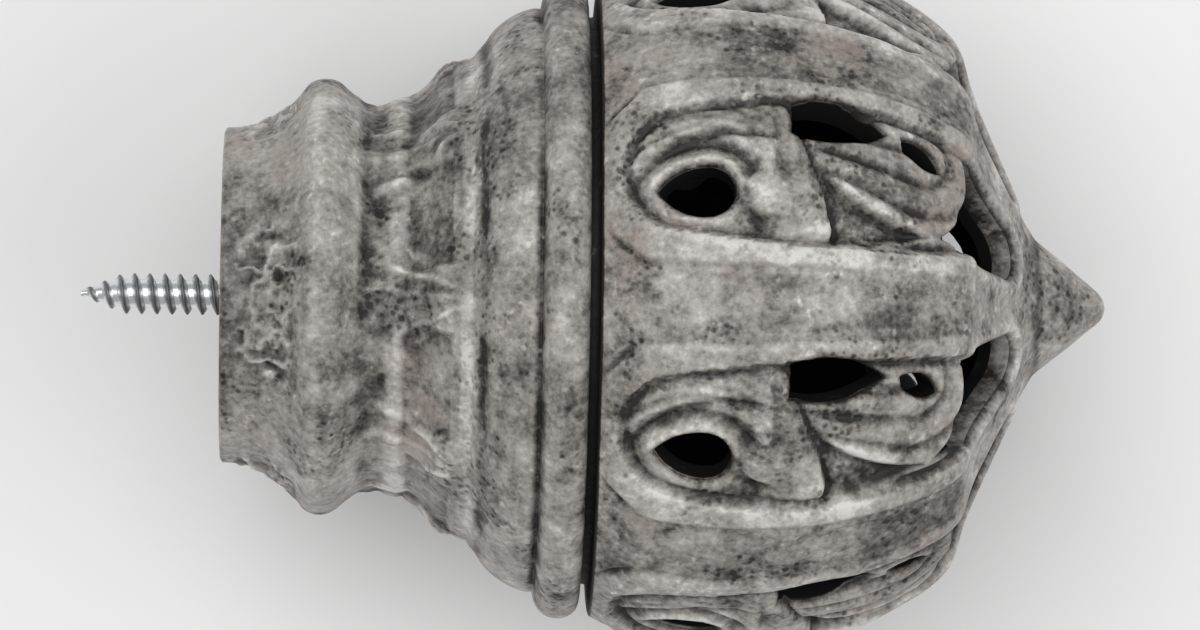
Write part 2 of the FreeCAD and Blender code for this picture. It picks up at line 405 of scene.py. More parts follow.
class FinialSizes(bpy.types.PropertyGroup):
    """Heights and depths of the carving, and the pitch of the thread."""

    frame_depth: length("Frame depth", "Depth beside the half-round frame of a panel", 0.9)
    band_depth: length("Band depth", "Depth of the shallow band along a rib", 0.8)
    notch_depth: length("Notch depth", "Depth of the notches beside the joint", 1.3)
    panel_depth: length("Panel depth", "Depth of a panel's ground", 1.7)
    deep_depth: length("Deep depth", "Depth of the crescent groove and the stippled ground", 3.2)
    lid_height: length("Lid height", "Height of the lid over the eye hole", 0.75)
    scroll_height: length("Scroll height", "Height of the scroll that curls over the lid", 0.85)
    pearl_fall: length("Pearl fall", "Fall of the pearl from its crown to its edge", 1.4)
    stem_fall: length("Stem fall", "Fall of the stem from its crest to its edge", 0.7)
    volute_height: length("Volute height", "Height of the volute's flutes", 0.38)
    stipple_height: length("Stipple height", "Height of the stippled ground's points", 0.45)
    rim_rounding: length("Rim rounding", "Radius of the rounding round each hole", 1.1)
    strut_depth: length("Strut depth", "Depth of a strut's middle below its edges", 0.5)
    hand_wave: length("Hand wave", "Unevenness left by the carver", 0.14)
    hand_grain: length("Hand grain", "Fine grain of the casting", 0.03)
    neck_panel_depth: length("Neck panel depth", "Depth of the panels round the neck", 1.0)
    neck_hollow_depth: length("Neck hollow depth", "Depth of the worn hollow behind the bead", 1.0)
    fan_rise: length("Fan rise", "Rise of a fan leaf at its root", 0.35)
    vein_height: length("Vein height", "Height of a fan leaf's veins", 0.36)
    blister_height: length("Blister height", "Height of the blisters in the cove", 0.85)
    thread_pitch: length("Thread pitch", "Pitch of the screw's thread", 2.35)


class FinialColours(bpy.types.PropertyGroup):
    """Colours of the antiqued resin and of the screw."""

    glaze: colour("Glaze", "Dark glaze left in the deepest hollows", (0.012, 0.010, 0.009))
    stain: colour("Stain", "Thin glaze over the paint", (0.105, 0.095, 0.086))
    ground: colour("Ground", "Warm grey paint under the antiquing", (0.240, 0.222, 0.205))
    rubbed: colour("Rubbed", "Paint rubbed lighter on the rises", (0.375, 0.357, 0.333))
    highlight: colour("Highlight", "Dry-brushed silver on the ridges", (0.60, 0.585, 0.555))
    tint: colour("Tint", "Faint brown that shows through the paint", (0.225, 0.165, 0.140))
    # Near-black painted shade for the unlit insides of the cage and the collar's socket
    inside: colour("Inside", "Unlit paint inside the cage", (0.006, 0.006, 0.006))
    zinc: colour("Zinc", "Plating of the screw", (0.74, 0.76, 0.77))
    # Dark colour painted on the thread as its dark reflections
    thread_reflection_dark: colour("Grime", "Dull film on the thread", (0.03, 0.03, 0.032))


class FinialStage(bpy.types.PropertyGroup):
    """Floor, lights and camera."""

    floor_level: length("Floor level", "Height of the floor under the axis", -55.6)
    floor_size: length("Floor size", "Side of the square floor", 16000.0)
    floor_colour: colour("Floor colour", "Pale floor", (0.80, 0.80, 0.80))
    camera_station: length("Camera station", "Place of the camera along the axis", 19.8)
    camera_height: length("Camera height", "Height of the camera above the axis", 1250.0)
    aim_station: length("Aim station", "Place along the axis at the picture's middle", 58.6)
    aim_side: length("Aim side", "Picture's middle across the axis", -2.2)
    frame_width: length("Frame width", "Width that the picture shows at the axis", 186.0)
    camera_roll: FloatProperty(
        name="Camera roll",
        description="Tilt of the axis in the picture",
        default=math.radians(0.9),
        subtype="ANGLE",
    )
    key_place: place("Key place", "Place of the main light", (-0.40, 0.45, 2.10))
    key_size: length("Key size", "Side of the main light", 1800.0)
    key_power: power("Key power", "Power of the main light", 30.0)
    fill_place: place("Fill place", "Place of the fill light", (1.30, -0.25, 1.40))
    fill_size: length("Fill size", "Side of the fill light", 1600.0)
    fill_power: power("Fill power", "Power of the fill light", 12.0)
    sky_colour: colour("Sky colour", "Colour of the light from all round", (1.0, 1.0, 1.0))
    sky_strength: FloatProperty(name="Sky strength", description="Light from all round", default=0.45)


def in_millimetres(group):
    """Lengths of a settings group in millimetres, under the same names."""
    return SimpleNamespace(**{name: getattr(group, name) / MM for name in group.__annotations__})


def smooth(values, low, high):
    """Smooth step from 0 at low to 1 at high."""
    share = np.clip((values - low) / (high - low), 0.0, 1.0)
    return share * share * (3.0 - 2.0 * share)


def bell(values, width):
    """Bell curve of height one about zero."""
    return np.exp(-np.square(values / width))


def lines_at(values, *lines):
    """Height at some values of rounded lines of (place, height, width)."""
    return sum(height * bell(values - place, width) for place, height, width in lines)


def bowed_run(start, end, bow, spacing):
    """Points from start towards end, straight or on an arc that rises to its right by bow half chords."""
    start = np.array(start, dtype=float)
    end = np.array(end, dtype=float)
    chord = end - start
    size = np.hypot(chord[0], chord[1])
    count = max(2, int(math.ceil(size / spacing)))
    shares = np.arange(count) / count
    if bow == 0:
        return start + shares[:, None] * chord
    sweep = 4 * math.atan(bow)
    left = np.array((-chord[1], chord[0])) / size
    centre = (start + end) / 2 + left * size / (2 * math.tan(sweep / 2))
    arm = start - centre
    turn = shares * sweep
    along = arm[0] * np.cos(turn) - arm[1] * np.sin(turn)
    across = arm[0] * np.sin(turn) + arm[1] * np.cos(turn)
    return centre + np.stack((along, across), axis=1)


def closed_outline(corners):
    """Points round a closed outline of (first, second, bow) corners."""
    runs = []
    for number, corner in enumerate(corners):
        following = corners[(number + 1) % len(corners)]
        runs.append(bowed_run(corner[:2], following[:2], corner[2], OUTLINE_SPACING))
    return np.concatenate(runs)


def open_profile(stations, spacings):
    """Points along an open profile of (along, radius, bow) stations, each run with its own spacing."""
    runs = []
    for number, spacing in enumerate(spacings):
        here = stations[number]
        runs.append(bowed_run(here[:2], stations[number + 1][:2], here[2], spacing))
    runs.append(np.array([stations[-1][:2]], dtype=float))
    return np.concatenate(runs)


def softened(profile, passes):
    """Profile with its corners eased, its ends kept."""
    eased = profile.copy()
    for number in range(passes):
        eased[1:-1] = (eased[:-2] + 2 * eased[1:-1] + eased[2:]) / 4
    return eased


def outline_distance(first, second, outline):
    """Distance of points from a closed outline, negative inside it."""
    nearest = np.full(first.shape, np.inf)
    inside = np.zeros(first.shape, dtype=bool)
    for start, end in zip(outline, np.roll(outline, -1, axis=0)):
        edge = end - start
        away_first = first - start[0]
        away_second = second - start[1]
        share = np.clip((away_first * edge[0] + away_second * edge[1]) / (edge @ edge), 0.0, 1.0)
        gap = np.hypot(away_first - share * edge[0], away_second - share * edge[1])
        nearest = np.minimum(nearest, gap)
        if start[1] != end[1]:
            crosses = (start[1] > second) != (end[1] > second)
            reach = start[0] + (second - start[1]) * edge[0] / edge[1]
            inside ^= crosses & (first < reach)
    return np.where(inside, -nearest, nearest)


def from_spine(along, across, start, end):
    """Share of the way down a straight spine, offset along the axis from it, and distance from it."""
    start = np.array(start)
    run = np.array(end) - start
    down = np.clip(((along - start[0]) * run[0] + (across - start[1]) * run[1]) / (run @ run), 0.0, 1.0)
    aside = along - start[0] - down * run[0]
    return down, aside, np.hypot(aside, across - start[1] - down * run[1])


def lattice_noise(points, size, seed):
    """Smooth noise from -1 to 1 with features of about a size, the same for each run."""
    lattice = np.random.default_rng(seed).uniform(-1.0, 1.0, (NOISE_LATTICE,) * 3)
    place = points / size
    low = np.floor(place).astype(int)
    share = smooth(place - low, 0.0, 1.0)
    total = np.zeros(len(points))
    for corner in np.ndindex(2, 2, 2):
        index = (low + corner) % NOISE_LATTICE
        weight = np.prod(np.where(corner, share, 1.0 - share), axis=1)
        total += weight * lattice[index[:, 0], index[:, 1], index[:, 2]]
    return total


def hand_wear(sizes, points):
    """Depth of the carver's unevenness and the casting's fine grain, never negative."""
    wave = sizes.hand_wave * (1.0 + lattice_noise(points, *HAND_WAVE))
    return wave + sizes.hand_grain * (1.0 + lattice_noise(points, *HAND_GRAIN))


def blurred(field, weight, reach):
    """Field averaged over neighbouring grid points, round the columns and along the rows."""
    steps = np.arange(-BLUR_REACHES * reach, BLUR_REACHES * reach + 1)
    bells = bell(steps, math.sqrt(2) * reach)
    value = field * weight
    share = weight.astype(float)
    value_sum = np.zeros(value.shape)
    share_sum = np.zeros(value.shape)
    for step, bell_value in zip(steps, bells):
        value_sum += bell_value * np.roll(value, step, axis=1)
        share_sum += bell_value * np.roll(share, step, axis=1)
    rows = np.arange(value.shape[0])
    value = np.zeros(value.shape)
    share = np.zeros(value.shape)
    for step, bell_value in zip(steps, bells):
        index = np.clip(rows + step, 0, len(rows) - 1)
        value += bell_value * value_sum[index]
        share += bell_value * share_sum[index]
    return value / np.maximum(share, bells.min())


def relief_of(depth, used):
    """Height of each grid point over its near and its wider surroundings."""
    height = np.zeros(depth.shape)
    for weight, reach in (FINE_RELIEF, BROAD_RELIEF):
        height += weight * (blurred(depth, used, reach) - depth)
    return height


def turned_points(along, radius, angle):
    """List of points in millimetres about the axis, with the angle from Z towards Y."""
    return np.stack((along, radius * np.sin(angle), radius * np.cos(angle)), axis=-1).reshape(-1, 3)


def turned_grid(profile, columns):
    """Station, radius and angle of each point of a profile turned about the axis."""
    along = np.repeat(profile[:, :1], columns, axis=1)
    radius = np.repeat(profile[:, 1:], columns, axis=1)
    turns = np.arange(columns) * 2 * math.pi / columns
    return along, radius, np.repeat(turns[None, :], len(profile), axis=0)


def grid_faces(rows, columns, wrap):
    """Grid of quads between a grid of points, facing outwards, joined round where it wraps."""
    across = columns if wrap else columns - 1
    row, column = np.meshgrid(np.arange(rows - 1), np.arange(across), indexing="ij")
    after = (column + 1) % columns
    corners = (
        row * columns + column,
        (row + 1) * columns + column,
        (row + 1) * columns + after,
        row * columns + after,
    )
    return np.stack(corners, axis=-1)


def turned_faces(rows, columns):
    """List of quads round a turned grid of points."""
    return grid_faces(rows, columns, True).reshape(-1, 4)


def join_parts(parts):
    """One set of points, faces, reliefs and material numbers from several."""
    joined = ([], [], [], [])
    start = 0
    for points, faces, relief, finish in parts:
        shares = (points, faces + start, relief, np.full(len(faces), finish))
        for whole, share in zip(joined, shares):
            whole.append(share)
        start += len(points)
    return [np.concatenate(whole) for whole in joined]


def mesh_piece(name, parts, materials, node):
    """Piece on the root body from parts of (points in millimetres, quads, relief, material number)."""
    points, faces, relief, finishes = join_parts(parts)
    used = np.unique(faces)
    number = np.zeros(len(points), dtype=int)
    number[used] = np.arange(len(used))
    mesh = bpy.data.meshes.new(name)
    mesh.from_pydata((points[used] * MM).tolist(), [], number[faces].tolist())
    height = mesh.attributes.new("relief", "FLOAT", "POINT")
    height.data.foreach_set("value", relief[used].astype(np.float32))
    mesh.polygons.foreach_set("material_index", finishes.astype(np.int32))
    mesh.polygons.foreach_set("use_smooth", np.ones(len(mesh.polygons), dtype=bool))
    for material in materials:
        mesh.materials.append(material)
    mesh.update()
    piece = bpy.data.objects.new(name, mesh)
    bpy.context.scene.collection.objects.link(piece)
    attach(piece, "root")
    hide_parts(node)


class Shade:
    """Shader socket that takes part in Python sums, each of which adds its own node."""

    def __init__(self, tree, socket=None):
        """Wrap a socket of a node tree."""
        self.tree = tree
        self.socket = socket

    def node(self, kind, settings, sockets, output=0):
        """Output of a new node with its settings, then its sockets' values or links."""
        made = self.tree.nodes.new(kind)
        for name, value in settings.items():
            if name == "stops":
                set_stops(made.color_ramp, value)
            else:
                setattr(made, name, value)
        for name, value in sockets.items():
            feed(made, name, value)
        return Shade(self.tree, made.outputs[output])

    def maths(self, operation, first, second):
        """Math node on two values."""
        return self.node("ShaderNodeMath", {"operation": operation}, {0: first, 1: second})

    def __add__(self, other):
        return self.maths("ADD", self, other)

    def __sub__(self, other):
        return self.maths("SUBTRACT", self, other)

    def __rsub__(self, other):
        return self.maths("SUBTRACT", other, self)

    def __mul__(self, other):
        return self.maths("MULTIPLY", self, other)

    def step(self, low, high):
        """Smooth mask from 0 at low to 1 at high."""
        return self.node(
            "ShaderNodeMapRange",
            {"interpolation_type": "SMOOTHSTEP"},
            {"Value": self, "From Min": low, "From Max": high, "To Min": 0.0, "To Max": 1.0},
        )

    def noise(self, size, detail, roughness):
        """Noise over this vector, with features of about a size in millimetres."""
        return self.node(
            "ShaderNodeTexNoise",
            {"noise_dimensions": "3D"},
            {"Vector": self, "Scale": 1.0 / (size * MM), "Detail": detail, "Roughness": roughness},
        )

    def dots(self, spacing):
        """Distance over this vector from dots at about a spacing in millimetres, in shares of it."""
        return self.node(
            "ShaderNodeTexVoronoi", {}, {"Vector": self, "Scale": 1.0 / (spacing * MM)}, "Distance"
        )

    def blend(self, first, second):
        """Colour between two, with this value as the share of the second."""
        sockets = {MIX_SHARE: self, MIX_FIRST: first, MIX_SECOND: second}
        return self.node("ShaderNodeMix", {"data_type": "RGBA"}, sockets, MIX_RESULT)

    def bump(self, strength, distance):
        """Normal tilted by this height, over a distance in millimetres."""
        return self.node(
            "ShaderNodeBump", {}, {"Strength": strength, "Distance": distance * MM, "Height": self}
        )


def set_stops(ramp, stops):
    """Stops of a colour ramp as (place, colour)."""
    while len(ramp.elements) < len(stops):
        ramp.elements.new(1.0)
    for element, (place, value) in zip(ramp.elements, stops):
        element.position = place
        element.color = value


def feed(node, name, value):
    """Link a wrapped socket to a node's socket, or set a constant on it."""
    if isinstance(value, Shade):
        value.tree.links.new(value.socket, node.inputs[name])
    else:
        node.inputs[name].default_value = value


def opaque(value):
    """Colour with its alpha."""
    return (value[0], value[1], value[2], 1.0)


def new_material(name):
    """Material, its main shader and the place on the surface."""
    material = bpy.data.materials.new(name)
    material.use_nodes = True
    tree = material.node_tree
    place = Shade(tree).node("ShaderNodeTexCoord", {}, {}, "Object")
    return material, tree.nodes["Principled BSDF"], place


def relief_here(place):
    """Carving's relief at the surface, which also carries painted shade and painted highlights."""
    return place.node("ShaderNodeAttribute", {"attribute_name": "relief"}, {}, "Fac")


def antiqued_paint(colours):
    """Warm grey paint with dark glaze in the hollows, dry-brushed ridges and a speckled, pitted skin, and
    with the painted shade and painted highlights that the relief carries.
    """
    material, shader, place = new_material("antiqued_paint")
    cloud = place.noise(*CLOUD)
    mottle = place.noise(*MOTTLE)
    grain = place.noise(*GRAIN)
    patch = place.noise(*PATCH).step(*PATCH_EDGE)
    away = place.dots(DOT_SPACING) + (mottle - NOISE_MIDDLE) * DOT_WANDER
    specks = (1 - away.step(*DOT_EDGE)) * patch
    flecks = place.noise(*FLECK).step(*FLECK_EDGE) * place.noise(*FLECK_PATCH).step(*FLECK_PATCH_EDGE)
    patina = relief_here(place) * RELIEF_WEIGHT + NOISE_MIDDLE
    for noise, weight in ((grain, GRAIN_WEIGHT), (mottle, MOTTLE_WEIGHT), (cloud, CLOUD_WEIGHT)):
        patina = patina + (noise - NOISE_MIDDLE) * weight
    patina = patina - specks * SPECK_WEIGHT - patch * PATCH_WEIGHT + flecks * FLECK_WEIGHT
    coats = (colours.glaze, colours.stain, colours.ground, colours.rubbed, colours.highlight)
    stops = [(share, opaque(coat)) for share, coat in zip(PATINA_STOPS, coats)]
    antiqued = place.node("ShaderNodeValToRGB", {"stops": stops}, {"Fac": patina})
    tint = place.noise(*TINT_PATCH).step(*TINT_PATCH_EDGE) * mottle.step(*TINT_MOTTLE_EDGE) * TINT_STRENGTH
    tint = tint * patina.step(*TINT_PATINA_EDGE)
    feed(shader, "Base Color", tint.blend(antiqued, opaque(colours.tint)))
    feed(shader, "Roughness", PAINT_ROUGHNESS - patina * RUBBED_GLOSS)
    feed(shader, "Specular IOR Level", PAINT_SPECULAR)
    skin = grain * GRAIN_BUMP + mottle - specks * SPECK_BUMP
    feed(shader, "Normal", skin.bump(*PAINT_BUMP))
    return material


def cage_inside(colours):
    """Near-black painted shade inside the cage, dusty in places."""
    material, shader, place = new_material("cage_inside")
    dust = place.noise(*DUST)
    dusty = dust.step(*DUST_EDGE) * DUST_STRENGTH
    feed(shader, "Base Color", dusty.blend(opaque(colours.inside), opaque(colours.stain)))
    feed(shader, "Roughness", dust * DUST_ROUGHNESS + INSIDE_ROUGHNESS)
    feed(shader, "Specular IOR Level", DULL_SPECULAR)
    return material


def zinc_plated_steel(colours):
    """Bright zinc plating, with painted dark reflections on the thread's crests and flanks."""
    material, shader, place = new_material("zinc_plated_steel")
    cloud = place.noise(*ZINC_CLOUD)
    painted_reflection = (relief_here(place) + (cloud - NOISE_MIDDLE) * REFLECTION_WANDER).step(*REFLECTION_EDGE)
    painted_reflection_share = painted_reflection * REFLECTION_STRENGTH
    feed(shader, "Base Color", painted_reflection_share.blend(opaque(colours.zinc), opaque(colours.thread_reflection_dark)))
    feed(shader, "Metallic", 1.0)
    feed(shader, "Roughness", cloud * CLOUD_ROUGHNESS + ZINC_ROUGHNESS + painted_reflection * REFLECTION_ROUGHNESS)
    feed(shader, "Normal", place.noise(*SCRATCH).bump(*SCRATCH_BUMP))
    return material


def pale_floor(tone):
    """Plain pale floor."""
    material, shader, place = new_material("pale_floor")
    darker = [FLOOR_DARKER * channel for channel in tone]
    feed(shader, "Base Color", place.noise(*FLOOR_CLOUD).blend(opaque(tone), opaque(darker)))
    feed(shader, "Roughness", FLOOR_ROUGHNESS)
    feed(shader, "Specular IOR Level", DULL_SPECULAR)
    return material


def resin_materials(colours):
    """Paint of the outside and near-black painted shade of the inside, made once."""
    paint = bpy.data.materials.get("antiqued_paint") or antiqued_paint(colours)
    inside = bpy.data.materials.get("cage_inside") or cage_inside(colours)
    return [paint, inside]


def in_ball_shares(outline):
    """Outline in millimetres from shares of the ball's length along and of its radius across."""
    corners = []
    for along, across, bow in outline:
        corners.append((CAGE_START + along * BALL_LENGTH, across * BALL_RADIUS, bow))
    return closed_outline(corners)


def in_radius_shares(outline):
    """Outline in millimetres from shares of the ball's radius."""
    corners = [(along * BALL_RADIUS, across * BALL_RADIUS, bow) for along, across, bow in outline]
    return closed_outline(corners)


def ball_radius_at(station):
    """Radius of the ball's outline at a station."""
    return math.sqrt(BALL_RADIUS**2 - (station - BALL_MIDDLE) ** 2)


def ball_turn_at(station):
    """Angle at the ball's middle of its outline at a station."""
    return math.asin((station - BALL_MIDDLE) / BALL_RADIUS)


STRUT_TOP = ball_radius_at(BALL_END) - LIP_DROP
STRUT_TILT = math.atan2(STRUT_TOP - NOSE_RADIUS, STRUT_REACH)
LOBE_RADIUS = ball_radius_at(LOBE_STATION)
LOBE_TILT = ball_turn_at(LOBE_STATION)


def strut_station(radius):
    """Station on the struts' outer line at a radius."""
    return STRUT_START + STRUT_REACH * (STRUT_TOP - radius) / (STRUT_TOP - NOSE_RADIUS)


class CageSector:
    """One of the cage's equal sectors as a grid of rows along the profile and columns across a panel."""

    def __init__(self, sizes, spacing, columns):
        """Lay the grid out, leave the holes open and fit its edges to their outlines."""
        self.sizes = sizes
        self.columns = columns
        self.profile = self.outer_profile(spacing)
        self.inward = self.inward_directions()
        rows = np.arange(len(self.profile), dtype=float)
        self.row, self.column = np.meshgrid(rows, np.arange(columns + 1, dtype=float), indexing="ij")
        self.open_holes()

    def outer_profile(self, spacing):
        """Profile from the joint line to the nose."""
        ball_sweep = ball_turn_at(BALL_END) - ball_turn_at(RIM_END)
        stations = (
            (CAGE_START - SPIGOT_SHOWN, SPIGOT_RADIUS, 0.0),
            (CAGE_START, SPIGOT_RADIUS, 0.0),
            (CAGE_START, RIM_RADIUS, RIM_BOW),
            (RIM_END, ball_radius_at(RIM_END), -math.tan(ball_sweep / 4)),
            (BALL_END, ball_radius_at(BALL_END), LIP_BOW),
            (STRUT_START, STRUT_TOP, 0.0),
            (strut_station(STRUT_JOIN_RADIUS), STRUT_JOIN_RADIUS, 0.0),
        )
        spacings = [spacing * share for share in RUN_SPACINGS]
        profile = softened(open_profile(stations, spacings), CORNER_EASE_PASSES)
        lip = (abs(profile[:, 0] - BALL_END) < LIP_EASE_REACH) & (profile[:, 0] > BALL_MIDDLE)
        first = np.argmax(lip)
        last = first + np.count_nonzero(lip)
        passes = round(LIP_EASE_PASSES * (CAGE_SPACING / spacing) ** 2)
        profile[first:last] = softened(profile[first:last], passes)
        return profile

    def inward_directions(self):
        """Direction into the wall for each row: to the ball's middle, turning to square on the struts."""
        to_middle = np.array((BALL_MIDDLE, 0.0)) - self.profile
        to_middle /= np.hypot(to_middle[:, 0], to_middle[:, 1])[:, None]
        into_strut = np.array((-math.sin(STRUT_TILT), -math.cos(STRUT_TILT)))
        drop = ball_radius_at(BALL_END) - self.profile[:, 1]
        turned = smooth(drop, -LIP_TURN_LEAD, LIP_DROP)
        share = np.where(self.profile[:, 0] > BALL_MIDDLE, turned, 0.0)[:, None]
        mixed = to_middle * (1 - share) + into_strut * share
        return mixed / np.hypot(mixed[:, 0], mixed[:, 1])[:, None]

    def along_rows(self, values):
        """Values of the profile's rows at each grid point."""
        return np.interp(self.row, np.arange(len(self.profile)), values)

    def surface(self):
        """Station, radius and angle of each grid point on the uncarved surface."""
        angle = (self.column / self.columns - SECTOR_MIDDLE) * SECTOR
        return self.along_rows(self.profile[:, 0]), self.along_rows(self.profile[:, 1]), angle

    def sunk(self, depth):
        """Station and radius of each grid point at a depth into the wall."""
        along, radius, angle = self.surface()
        along = along + depth * self.along_rows(self.inward[:, 0])
        return along, radius + depth * self.along_rows(self.inward[:, 1])

    def hole_distances(self):
        """Distances from the outlines of the eye, leaf, lobe and strut holes."""
        along, radius, angle = self.surface()
        across = radius * np.sin(angle)
        facing = radius * np.cos(angle)
        lobe_along = (along - LOBE_STATION) * math.cos(LOBE_TILT)
        lobe_along -= (facing - LOBE_RADIUS) * math.sin(LOBE_TILT)
        strut_along = (along - STRUT_START) * math.cos(STRUT_TILT)
        strut_along -= (facing - STRUT_TOP) * math.sin(STRUT_TILT)
        return (
            outline_distance(along, across, in_ball_shares(EYE_HOLE)),
            outline_distance(along, across, in_ball_shares(LEAF_HOLE)),
            outline_distance(lobe_along, across, in_radius_shares(LOBE_HOLE)),
            outline_distance(strut_along, across, in_radius_shares(STRUT_HOLE)),
        )

    def open_holes(self):
        """Mark the cells outside the holes, and draw their inner corners out to the outlines."""
        distance = np.minimum.reduce(self.hole_distances())
        solid = distance > 0
        self.kept = solid[:-1, :-1] | solid[1:, :-1] | solid[1:, 1:] | solid[:-1, 1:]
        self.used = np.zeros(solid.shape, dtype=bool)
        for rows in (slice(None, -1), slice(1, None)):
            for columns in (slice(None, -1), slice(1, None)):
                self.used[rows, columns] |= self.kept
        rise_row, rise_column = np.gradient(distance)
        steepness = np.maximum(rise_row**2 + rise_column**2, LEAST_STEEPNESS)
        moved = self.used & ~solid
        for number in range(EDGE_FITS):
            pull = np.where(moved, -distance, 0.0)
            self.row = self.row + pull * rise_row / steepness
            self.column = self.column + pull * rise_column / steepness
            distance = np.minimum.reduce(self.hole_distances())

    def carved_depth(self):
        """Depth of the carving under each grid point."""
        along, radius, angle = self.surface()
        across = radius * np.sin(angle)
        rib_angle = np.abs(angle) - SECTOR / 2
        eye, leaf, lobe, strut = self.hole_distances()
        recess = outline_distance(along, across, in_ball_shares(PANEL_RECESS))
        band = outline_distance(along, radius * np.sin(rib_angle), in_ball_shares(RIB_BAND))
        below_ball = BALL_RADIUS - np.hypot(along - BALL_MIDDLE, radius)
        rib = framed_rib(self.sizes, recess, band, along - CAGE_START)
        panel = panel_level(self.sizes, along, across, recess, eye)
        depth = np.where(recess > 0, rib, panel) * (1.0 - smooth(below_ball, *BALL_EDGE))
        on_strut = smooth(below_ball, *STRUT_EDGE) * (along > BALL_MIDDLE)
        edge = np.where(on_strut > 0, strut, np.inf)
        strut_depth = self.sizes.strut_depth * (1.0 - bell(edge - STRUT_EDGE_CREST, STRUT_EDGE_WIDTH))
        depth = depth * (1.0 - on_strut) + strut_depth * on_strut
        rounding = self.sizes.rim_rounding
        short = 1.0 - np.clip(np.minimum.reduce((eye, leaf, lobe, strut)) / rounding, 0.0, 1.0)
        return depth + rounding * (1.0 - np.sqrt(1.0 - np.square(short)))

    def relief(self, depth):
        """Height of each grid point over its surroundings, with painted shade along the joint groove."""
        height = relief_of(depth[:, :-1], self.used[:, :-1])
        height = np.concatenate((height, height[:, :1]), axis=1)
        # Painted shade along the joint groove at the cage's rim
        return np.where(self.profile[:, :1] < CAGE_START + JOINT_SHADE_REACH, -JOINT_SHADE, height)

    def across_sectors(self, field, sectors):
        """Field of one sector repeated over several."""
        return np.concatenate([field[:, :-1]] * sectors + [field[:, -1:]], axis=1)

    def turns(self, first, sectors):
        """Angles of each grid point of several sectors, with the shared columns once."""
        angle = self.surface()[2]
        middles = [(first + number + SECTOR_MIDDLE) * SECTOR for number in range(sectors)]
        turned = [angle[:, :-1] + middle for middle in middles]
        return np.concatenate(turned + [angle[:, -1:] + middles[-1]], axis=1)

    def outside(self, depth, first, sectors):
        """Points, quads, reliefs and material number of some sectors' carved skin."""
        along, radius = [self.across_sectors(field, sectors) for field in self.sunk(depth)]
        turns = self.turns(first, sectors)
        wear = hand_wear(self.sizes, turned_points(along, radius, turns)).reshape(radius.shape)
        points = turned_points(along, radius - wear, turns)
        relief = self.across_sectors(self.relief(depth), sectors).reshape(-1)
        return points, self.kept_faces(turns.shape, sectors), relief, OUTER_FINISH

    def inside(self, first, sectors):
        """Points, quads, reliefs and material number of some sectors' plain lining, in near-black painted
        shade.
        """
        along, radius = [self.across_sectors(field, sectors) for field in self.sunk(WALL)]
        turns = self.turns(first, sectors)
        points = turned_points(along, radius, turns)
        faces = self.kept_faces(turns.shape, sectors)[:, ::-1]
        return points, faces, np.full(len(points), -INSIDE_SHADE), INNER_SHADE_FINISH

    def kept_faces(self, shape, sectors):
        """Quads of some sectors outside the holes."""
        kept = np.concatenate([self.kept] * sectors, axis=1)
        return grid_faces(shape[0], shape[1], False)[kept]

    def hole_edges(self):
        """Pairs of grid points along the holes' edges, in the order of the cells beside them."""
        kept = np.pad(self.kept, 1, constant_values=True)
        corners = ((0, 0), (1, 0), (1, 1), (0, 1))
        beyond = ((0, -1), (1, 0), (0, 1), (-1, 0))
        edges = []
        for number, (row_step, column_step) in enumerate(beyond):
            rows = slice(1 + row_step, kept.shape[0] - 1 + row_step)
            columns = slice(1 + column_step, kept.shape[1] - 1 + column_step)
            row, column = np.nonzero(self.kept & ~kept[rows, columns])
            ends = []
            for down, right in (corners[number], corners[(number + 1) % len(corners)]):
                ends.append((row + down) * (self.columns + 1) + column + right)
            edges.append(np.stack(ends, axis=1))
        return np.concatenate(edges)

    def hole_walls(self, depth, first, sectors):
        """Walls from the holes' edges inwards: painted at the mouth, deeper beside a strut, darkening with
        painted shade as they go in, then near-black painted shade.
        """
        edges = self.hole_edges()
        used, index = np.unique(edges, return_inverse=True)
        index = index.reshape(edges.shape)
        station, radius, angle = [field.reshape(-1)[used] for field in self.surface()]
        beside_strut = station > BALL_END
        painted_steps = np.where(beside_strut[index].all(axis=1), STRUT_WALL_PAINTED, 0)
        points = []
        reliefs = []
        walls = {OUTER_FINISH: [], INNER_SHADE_FINISH: []}
        start = 0
        for number in range(sectors):
            turns = angle + (first + number + SECTOR_MIDDLE) * SECTOR
            for share in WALL_LEVELS:
                level = self.sunk(depth + (WALL - depth) * share)
                along, radius = [field.reshape(-1)[used] for field in level]
                points.append(turned_points(along, radius, turns))
                # Painted shade: the holes' walls darken as they go in
                hole_shade = JOINT_SHADE * min(1.0, share * HOLE_SHADE_RATE)
                reliefs.append(-np.where(beside_strut, STRUT_WALL_SHADE * share, hole_shade))
            for step in range(len(WALL_LEVELS) - 1):
                upper = start + step * len(used) + index
                lower = upper + len(used)
                wall = np.stack((upper[:, 1], upper[:, 0], lower[:, 0], lower[:, 1]), axis=1)
                # Steps past the painted ones take the near-black painted shade
                painted = painted_steps >= step
                walls[OUTER_FINISH].append(wall[painted])
                walls[INNER_SHADE_FINISH].append(wall[~painted])
            start += len(WALL_LEVELS) * len(used)
        points = np.concatenate(points)
        reliefs = np.concatenate(reliefs)
        return [(points, np.concatenate(faces), reliefs, finish) for finish, faces in walls.items()]


def framed_rib(sizes, recess, band, past_joint):
    """Depth outside a panel's recess: the half-round frame, the rib's lined band and the rim's notches."""
    share = np.clip((recess - FRAME_CREST) / FRAME_HALF_WIDTH, -1.0, 1.0)
    bead = sizes.frame_depth * (1.0 - np.sqrt(1.0 - FRAME_ROUNDNESS * np.square(share)))
    in_band = smooth(-band, *BAND_EDGE)
    notch = smooth(recess, *NOTCH_FRAME_EDGE) * smooth(band, *NOTCH_BAND_EDGE)
    notch = notch * (1.0 - smooth(past_joint, *NOTCH_REACH))
    depth = bead * (1.0 - in_band) + sizes.band_depth * in_band
    line = lines_at(band, BAND_LINE) * smooth(past_joint, *NOTCH_REACH)
    return depth + (sizes.notch_depth - bead) * notch + line


